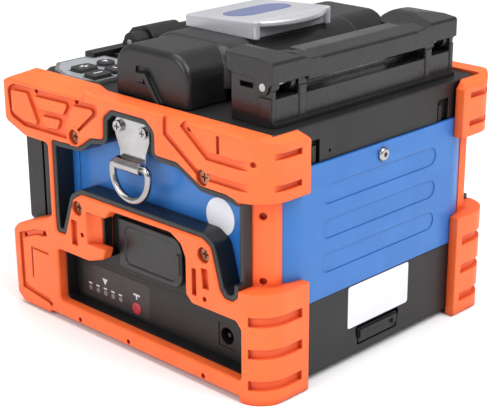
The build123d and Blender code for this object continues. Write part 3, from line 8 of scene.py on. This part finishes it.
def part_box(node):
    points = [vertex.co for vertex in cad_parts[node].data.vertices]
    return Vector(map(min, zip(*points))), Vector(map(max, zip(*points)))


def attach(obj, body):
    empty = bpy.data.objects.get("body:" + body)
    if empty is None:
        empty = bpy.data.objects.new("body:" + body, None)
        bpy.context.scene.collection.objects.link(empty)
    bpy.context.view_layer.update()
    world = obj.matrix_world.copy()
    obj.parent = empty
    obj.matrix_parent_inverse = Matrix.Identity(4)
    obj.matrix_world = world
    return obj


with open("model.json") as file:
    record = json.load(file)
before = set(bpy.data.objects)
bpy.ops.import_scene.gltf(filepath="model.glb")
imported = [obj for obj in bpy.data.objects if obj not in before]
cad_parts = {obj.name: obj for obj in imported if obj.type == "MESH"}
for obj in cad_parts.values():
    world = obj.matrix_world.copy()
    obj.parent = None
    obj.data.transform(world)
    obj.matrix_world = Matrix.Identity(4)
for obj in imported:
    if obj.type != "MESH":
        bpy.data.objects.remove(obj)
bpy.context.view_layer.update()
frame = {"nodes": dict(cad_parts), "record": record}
nodes = frame["nodes"]
MM = 0.001

# Ink of the printed marks
INK_THICK = 0.06
INK_GAP = 0.01      # clear of the surface it lies on

# Charge lamps on the battery face, front to rear
LAMP_COUNT = 5
LAMP_FIRST = -36.2
LAMP_STEP = 5.05
TICK_SIZE = (2.2, 0.7)
TICK_Z = 17.4

# Studio: metres, watts
FLOOR_SIZE = 8
FLOOR_PALE, FLOOR_DARK = 0.93, 0.9
WORLD_ON_OBJECT = 0.42
WORLD_SEEN = 1.0
LIGHTS = {
    "key": {"position": (-0.1, 0.9, 1.1), "target": (0, 0, 0.06), "size": (1.0, 0.8), "power": 15},
    "fill": {"position": (1.2, -0.1, 0.7), "target": (0, 0, 0.06), "size": (0.9, 0.9), "power": 9},
    "top": {"position": (0, -0.2, 1.5), "target": (0, 0, 0.1), "size": (1.2, 1.2), "power": 14},
}

# Camera: degrees, lens and sensor in mm
CAMERA_AZIMUTH = 134.47
CAMERA_ELEVATION = 19.75
CAMERA_ROLL = -0.28
CAMERA_PLACE = (406.7, 395.2, 250.8)
LENS, SENSOR = 98.6, 36
CLIP = (0.05, 20)


# ---------------------------------------------------------------------------
# Materials: every one is procedural, in metres of object space
# ---------------------------------------------------------------------------

def srgb(r, g, b):
    """Linear colour from 0-255 display values."""
    def lin(v):
        v /= 255
        return v / 12.92 if v <= 0.04045 else ((v + 0.055) / 1.055) ** 2.4
    return (lin(r), lin(g), lin(b), 1)


class Shader:
    """Short names for building one node material."""

    def __init__(self, name):
        self.mat = bpy.data.materials.new(name)
        self.mat.use_nodes = True
        self.tree = self.mat.node_tree
        self.tree.nodes.clear()
        self.out = self.add("ShaderNodeOutputMaterial")
        self.bsdf = self.add("ShaderNodeBsdfPrincipled")
        self.link(self.bsdf.outputs[0], self.out.inputs[0])
        self.coord = self.add("ShaderNodeTexCoord").outputs["Object"]

    def add(self, kind, **values):
        node = self.tree.nodes.new(kind)
        for key, value in values.items():
            setattr(node, key, value)
        return node

    def link(self, a, b):
        self.tree.links.new(a, b)

    def noise(self, scale, detail=2.0, rough=0.5, vector=None):
        n = self.add("ShaderNodeTexNoise")
        n.inputs["Scale"].default_value = scale
        n.inputs["Detail"].default_value = detail
        n.inputs["Roughness"].default_value = rough
        self.link(vector or self.coord, n.inputs["Vector"])
        return n.outputs["Fac"]

    def stretch(self, x, y, z):
        m = self.add("ShaderNodeMapping")
        m.inputs["Scale"].default_value = (x, y, z)
        self.link(self.coord, m.inputs["Vector"])
        return m.outputs[0]

    def span(self, value, low, high, to_low, to_high):
        m = self.add("ShaderNodeMapRange")
        for i, v in enumerate((low, high, to_low, to_high), start=1):
            m.inputs[i].default_value = v
        self.link(value, m.inputs[0])
        return m.outputs[0]

    def mix(self, fac, a, b, mode="MIX"):
        m = self.add("ShaderNodeMix", data_type="RGBA", blend_type=mode)
        for slot, value in ((0, fac), (6, a), (7, b)):
            if hasattr(value, "is_linked"):
                self.link(value, m.inputs[slot])
            else:
                m.inputs[slot].default_value = value
        return m.outputs[2]

    def bump(self, height, strength, distance, normal=None):
        b = self.add("ShaderNodeBump")
        b.inputs["Strength"].default_value = strength
        b.inputs["Distance"].default_value = distance
        self.link(height, b.inputs["Height"])
        if normal:
            self.link(normal, b.inputs["Normal"])
        return b.outputs[0]


BLOTCH_SCALE = 55           # slow change between the light and the dark tone
SPOT_RATIO = 0.35           # gloss spots against the grain
GRAIN_STRENGTH = 0.6
COAT_ROUGHNESS = 0.12
# AO range over which the painted crease shade fades in
CREASE_SHADE_RANGE = (0.35, 0.95)
EDGE_SAMPLES = 6


def finish_material(name, light, dark, rough, metal=0.0, grain=1800, grain_bump=0.00003,
                    edge=0.0005, crease_shade=None, crease_shade_reach=0.004, coat=0.0, brushed=None,
                    rough_spread=0.08, specular=0.5):
    """Moulded, painted or metal surface with fine grain, soft edges and painted shade darkening
    its creases.
    """
    s = Shader(name)
    broad = s.noise(BLOTCH_SCALE, 3.0, 0.6)
    fine = s.noise(grain, 2.0, 0.55, s.stretch(*brushed) if brushed else None)
    colour = s.mix(s.span(broad, 0.3, 0.7, 0.0, 1.0), dark, light)
    # Painted shade: ambient occlusion darkens the colour towards crease_shade in creases and
    # recesses
    if crease_shade:
        ao = s.add("ShaderNodeAmbientOcclusion", samples=EDGE_SAMPLES)
        ao.inputs["Distance"].default_value = crease_shade_reach
        colour = s.mix(s.span(ao.outputs["AO"], *CREASE_SHADE_RANGE, 1.0, 0.0), colour, crease_shade)
    s.link(colour, s.bsdf.inputs["Base Color"])
    spots = s.noise(grain * SPOT_RATIO, 2.0)
    s.link(s.span(spots, 0.25, 0.75, rough - rough_spread, rough + rough_spread),
           s.bsdf.inputs["Roughness"])
    s.bsdf.inputs["Metallic"].default_value = metal
    s.bsdf.inputs["Coat Weight"].default_value = coat
    s.bsdf.inputs["Coat Roughness"].default_value = COAT_ROUGHNESS
    s.bsdf.inputs["Specular IOR Level"].default_value = specular
    bevel = s.add("ShaderNodeBevel", samples=EDGE_SAMPLES)
    bevel.inputs["Radius"].default_value = edge
    s.link(s.bump(fine, GRAIN_STRENGTH, grain_bump, bevel.outputs[0]), s.bsdf.inputs["Normal"])
    return s.mat


# Painted shade: the orange darkens to deep red-orange in its creases and recesses
orange = finish_material("orange_rubber", srgb(246, 110, 54), srgb(240, 102, 48), 0.45,
                         grain=2600, edge=0.0011, crease_shade=srgb(196, 58, 16), specular=0.35)
liner = finish_material("liner_black", srgb(30, 30, 32), srgb(22, 22, 24), 0.36, edge=0.0010,
                        grain=2200, specular=0.5)
# Painted shade: creases and deck pockets of the case darken to near black
case = finish_material("case_black", srgb(36, 34, 35), srgb(28, 26, 27), 0.46, edge=0.0004,
                       grain=3000, grain_bump=0.00002, crease_shade=srgb(10, 10, 11),
                       crease_shade_reach=0.005, specular=0.35)
cover = finish_material("cover_black", srgb(34, 33, 35), srgb(27, 26, 28), 0.34, edge=0.0006,
                        grain=3200, grain_bump=0.00001, rough_spread=0.05, specular=0.4)
heater = finish_material("heater_black", srgb(34, 31, 32), srgb(27, 24, 25), 0.27, edge=0.0006,
                         grain=1200, grain_bump=0.000002, coat=0.1, rough_spread=0.03,
                         specular=0.4)
# Painted shade: rib creases of the blue panels darken slightly
blue = finish_material("panel_blue", srgb(44, 112, 186), srgb(36, 102, 176), 0.34, edge=0.0005,
                       grain=2400, grain_bump=0.000006, coat=0.1, crease_shade=srgb(30, 84, 160),
                       crease_shade_reach=0.003, rough_spread=0.04, specular=0.4)
silver = finish_material("cap_silver", srgb(198, 198, 203), srgb(186, 186, 192), 0.33,
                         metal=0.35, edge=0.0008, grain=1400, grain_bump=0.000003,
                         rough_spread=0.03)
badge = finish_material("badge_blue", srgb(70, 98, 180), srgb(56, 82, 160), 0.16, metal=0.2,
                        coat=0.7, edge=0.0003, grain=900, grain_bump=0.000006)
chrome = finish_material("bright_plate", srgb(184, 182, 182), srgb(150, 148, 148), 0.18,
                         metal=1.0, edge=0.0003, grain=1500, grain_bump=0.000004,
                         rough_spread=0.05)
steel = finish_material("screw_steel", srgb(190, 190, 192), srgb(160, 160, 164), 0.28, metal=1.0,
                        edge=0.0002, grain=2500, grain_bump=0.000005)
screw_orange = finish_material("zinc_screw", srgb(176, 122, 96), srgb(140, 92, 70), 0.34,
                               metal=0.8, edge=0.0002, grain=2500, grain_bump=0.000005)
white_film = finish_material("white_label", srgb(226, 226, 232), srgb(218, 218, 226), 0.45,
                             edge=0.0001, grain=5000, grain_bump=0.000003)
tile = finish_material("keypad_tile", srgb(112, 112, 113), srgb(98, 98, 99), 0.42, edge=0.0004,
                       grain=2600, grain_bump=0.00001)
plate = finish_material("keypad_plate", srgb(178, 181, 186), srgb(160, 164, 169), 0.34, metal=0.4,
                        edge=0.0003, grain=1600, grain_bump=0.000004, rough_spread=0.03)
lid_plate = finish_material("lid_plate", srgb(118, 117, 118), srgb(92, 91, 92), 0.36, metal=0.8,
                            edge=0.0003, grain=900, grain_bump=0.000008,
                            brushed=(0.06, 1, 1), rough_spread=0.05)
key_rubber = finish_material("key_rubber", srgb(44, 43, 45), srgb(34, 34, 36), 0.5, edge=0.0006,
                             grain=2600, grain_bump=0.00001, specular=0.4)
membrane = finish_material("battery_film", srgb(54, 51, 52), srgb(46, 43, 44), 0.34, edge=0.0001,
                           grain=4200, grain_bump=0.000004, specular=0.35)
red = finish_material("button_red", srgb(186, 56, 64), srgb(156, 38, 48), 0.3, edge=0.0003,
                      grain=2000, coat=0.3, grain_bump=0.000005)
lamp = finish_material("lamp_grey", srgb(128, 128, 130), srgb(100, 100, 104), 0.22, edge=0.0002,
                       grain=1500, coat=0.4, grain_bump=0.000005)
glass = finish_material("screen_glass", srgb(16, 17, 20), srgb(10, 11, 14), 0.06, edge=0.0002,
                        grain=300, grain_bump=0.000002, coat=0.8, rough_spread=0.02)
alloy = finish_material("machined_alloy", srgb(196, 198, 202), srgb(170, 172, 178), 0.32,
                        metal=1.0, edge=0.0003, grain=1800, grain_bump=0.000006,
                        brushed=(0.05, 1, 1))
brass = finish_material("brass", srgb(196, 160, 90), srgb(170, 132, 66), 0.3, metal=1.0,
                        edge=0.0003, grain=1500, grain_bump=0.000006)
board = finish_material("board_green", srgb(30, 96, 60), srgb(20, 76, 46), 0.4, edge=0.0001,
                        grain=1500, grain_bump=0.00001)
wrap = finish_material("cell_wrap", srgb(58, 110, 160), srgb(46, 92, 140), 0.25, edge=0.0005,
                       grain=900, grain_bump=0.000006)
zinc_sheet = finish_material("zinc_sheet", srgb(168, 170, 172), srgb(148, 150, 152), 0.38,
                             metal=1.0, edge=0.0003, grain=700, grain_bump=0.000008,
                             brushed=(1, 0.08, 1))
print_white = finish_material("printed_white", srgb(214, 214, 216), srgb(196, 196, 200), 0.5,
                              edge=0.00005, grain=3000, grain_bump=0.000002)

LOOKS = {
    orange: ["bumper_right", "bumper_left"],
    liner: ["liner_right", "liner_left", "port_flap", "base_feet"],
    case: ["base_tray", "battery_case", "front_housing", "top_deck", "monitor_housing",
           "battery_latch", "hinge_saddle", "dc_jack"],
    cover: ["wind_cover"],
    heater: ["heater_base", "heater_lid"],
    blue: ["side_panel_right", "side_panel_left", "rear_panel"],
    chrome: ["ring_plates", "carry_ring_right", "carry_ring_left", "ring_screws", "rear_screw"],
    steel: ["hinge_pins", "hinge_rod", "electrodes"],
    screw_orange: ["bumper_screws"],
    silver: ["cover_cap"],
    badge: ["cap_badge"],
    white_film: ["rating_label", "seal_sticker"],
    tile: ["keypad_tiles"],
    plate: ["keypad_plates"],
    lid_plate: ["heater_lid_plate"],
    key_rubber: [n for n in nodes if n.startswith("key_")],
    membrane: ["battery_membrane"],
    red: ["charge_button"],
    lamp: ["charge_leds"],
    glass: ["monitor_glass"],
    alloy: ["chamber_base", "v_groove_block", "fibre_stage_right", "fibre_stage_left",
            "fibre_clamp_right", "fibre_clamp_left", "heater_plate"],
    brass: ["tripod_bush"],
    board: ["main_board"],
    wrap: ["battery_cells"],
    zinc_sheet: ["chassis_frame", "port_sockets"],
}
for look, names in LOOKS.items():
    for name in names:
        nodes[name].data.materials.clear()
        nodes[name].data.materials.append(look)


# ---------------------------------------------------------------------------
# Printed marks: neutral signs in place of lettering
# ---------------------------------------------------------------------------

def printed_mark(name, shapes, to_world, body):
    """Thin ink shapes, each a closed outline in mm on the surface, as one piece."""
    verts, faces = [], []
    for shape in shapes:
        start, count = len(verts), len(shape)
        for lift in (0.0, INK_THICK):
            verts += [Vector(to_world(u, v, lift)) * MM for u, v in shape]
        faces.append([start + count + i for i in range(count)])
        faces.append([start + i for i in reversed(range(count))])
        faces += [[start + i, start + (i + 1) % count, start + count + (i + 1) % count,
                   start + count + i] for i in range(count)]
    mesh = bpy.data.meshes.new(name)
    mesh.from_pydata(verts, [], faces)
    mesh.materials.append(print_white)
    mark = bpy.data.objects.new(name, mesh)
    bpy.context.scene.collection.objects.link(mark)
    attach(mark, body)


def bar(u, v, width, height):
    """Outline of an upright rectangle from its low corner."""
    return [(u, v), (u + width, v), (u + width, v + height), (u, v + height)]


def top_of(node):
    """Middle and top height of a node, in mm."""
    low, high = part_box(node)
    return (low + high) / 2 / MM, high.z / MM


# The body that each node belongs to
BODY_OF = {name: body for body, names in frame["record"]["behaviour"]["bodies"].items()
           for name in names}
film_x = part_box("battery_membrane")[1].x / MM + INK_GAP
ticks = [bar(LAMP_FIRST + LAMP_STEP * i - TICK_SIZE[0] / 2, TICK_Z, *TICK_SIZE)
         for i in range(LAMP_COUNT)]
pointer = [(-26.1, 19.4), (-24.4, 22.4), (-27.8, 22.4)]
push_sign = [bar(-7.4, 20.6, 4.2, 0.8), bar(-5.7, 18.9, 0.8, 1.7)]
printed_mark("battery_marks", ticks + [pointer] + push_sign,
             lambda u, v, lift: (film_x + lift, u, v), BODY_OF["battery_membrane"])

# Signs about the middle of each key, in mm
KEY_SIGNS = {
    "front": [bar(-2.4, -0.4, 4.8, 0.8), bar(-0.4, -2.0, 0.8, 4.0)],
    "outer": [bar(-2.4, -0.4, 4.8, 0.8)],
    "round": [[(-1.5, -1.3), (1.5, -1.3), (0, 1.5)]],
    "inner": [bar(-1.8, -1.4, 0.8, 2.8), bar(1.0, -1.4, 0.8, 2.8)],
}
for kind, shapes in KEY_SIGNS.items():
    for side in ("right", "left"):
        key = f"key_{kind}_{side}"
        middle, height = top_of(key)
        printed_mark(f"sign_{kind}_{side}", shapes,
                     lambda u, v, lift, m=middle, h=height: (m.x + u, m.y + v,
                                                             h + INK_GAP + lift),
                     BODY_OF[key])


# ---------------------------------------------------------------------------
# Floor, light and camera
# ---------------------------------------------------------------------------

def stage_floor():
    """Pale matt floor under the object."""
    bpy.ops.mesh.primitive_plane_add(size=FLOOR_SIZE, location=(0, 0, 0))
    floor = bpy.context.object
    floor.name = "floor"
    s = Shader("studio_floor")
    tones = [(tone, tone, tone, 1) for tone in (FLOOR_PALE, FLOOR_DARK)]
    s.link(s.mix(s.noise(6), *tones), s.bsdf.inputs["Base Color"])
    s.bsdf.inputs["Roughness"].default_value = 0.9
    floor.data.materials.append(s.mat)


def soft_light(name, position, target, size, power):
    """Rectangular light aimed at the target."""
    light = bpy.data.lights.new(name, "AREA")
    light.shape = "RECTANGLE"
    light.size, light.size_y = size
    light.energy = power
    panel = bpy.data.objects.new(name, light)
    bpy.context.scene.collection.objects.link(panel)
    panel.location = position
    aim = Vector(target) - Vector(position)
    panel.rotation_euler = aim.to_track_quat("-Z", "Y").to_euler()


def set_world():
    """White to the camera, dimmer to the object so dark plastics stay dark."""
    world = bpy.data.worlds.new("studio")
    world.use_nodes = True
    tree = world.node_tree
    ray = tree.nodes.new("ShaderNodeLightPath")
    power = tree.nodes.new("ShaderNodeMapRange")
    power.inputs[3].default_value = WORLD_ON_OBJECT
    power.inputs[4].default_value = WORLD_SEEN
    tree.links.new(ray.outputs["Is Camera Ray"], power.inputs[0])
    tree.nodes["Background"].inputs[0].default_value = (1, 1, 1, 1)
    tree.links.new(power.outputs[0], tree.nodes["Background"].inputs[1])
    bpy.context.scene.world = world


def set_camera():
    """Long lens, a little above the object, looking at its rear right corner."""
    angles = (CAMERA_AZIMUTH, CAMERA_ELEVATION, CAMERA_ROLL)
    azimuth, elevation, roll = (math.radians(v) for v in angles)
    back = Vector((math.sin(azimuth) * math.cos(elevation),
                   -math.cos(azimuth) * math.cos(elevation), math.sin(elevation)))
    level = Vector((0, 0, 1)).cross(back).normalized()
    rise = back.cross(level)
    right = level * math.cos(roll) + rise * math.sin(roll)
    up = rise * math.cos(roll) - level * math.sin(roll)
    data = bpy.data.cameras.new("camera")
    data.sensor_width = SENSOR
    data.lens = LENS
    data.clip_start, data.clip_end = CLIP
    camera = bpy.data.objects.new("camera", data)
    place = Matrix((right, up, back)).transposed().to_4x4()
    place.translation = Vector(CAMERA_PLACE) * MM
    camera.matrix_world = place
    bpy.context.scene.collection.objects.link(camera)
    bpy.context.scene.camera = camera


stage_floor()
set_world()
set_camera()
for light_name, light in LIGHTS.items():
    soft_light(light_name, **light)
bpy.context.scene.view_settings.view_transform = "Standard"
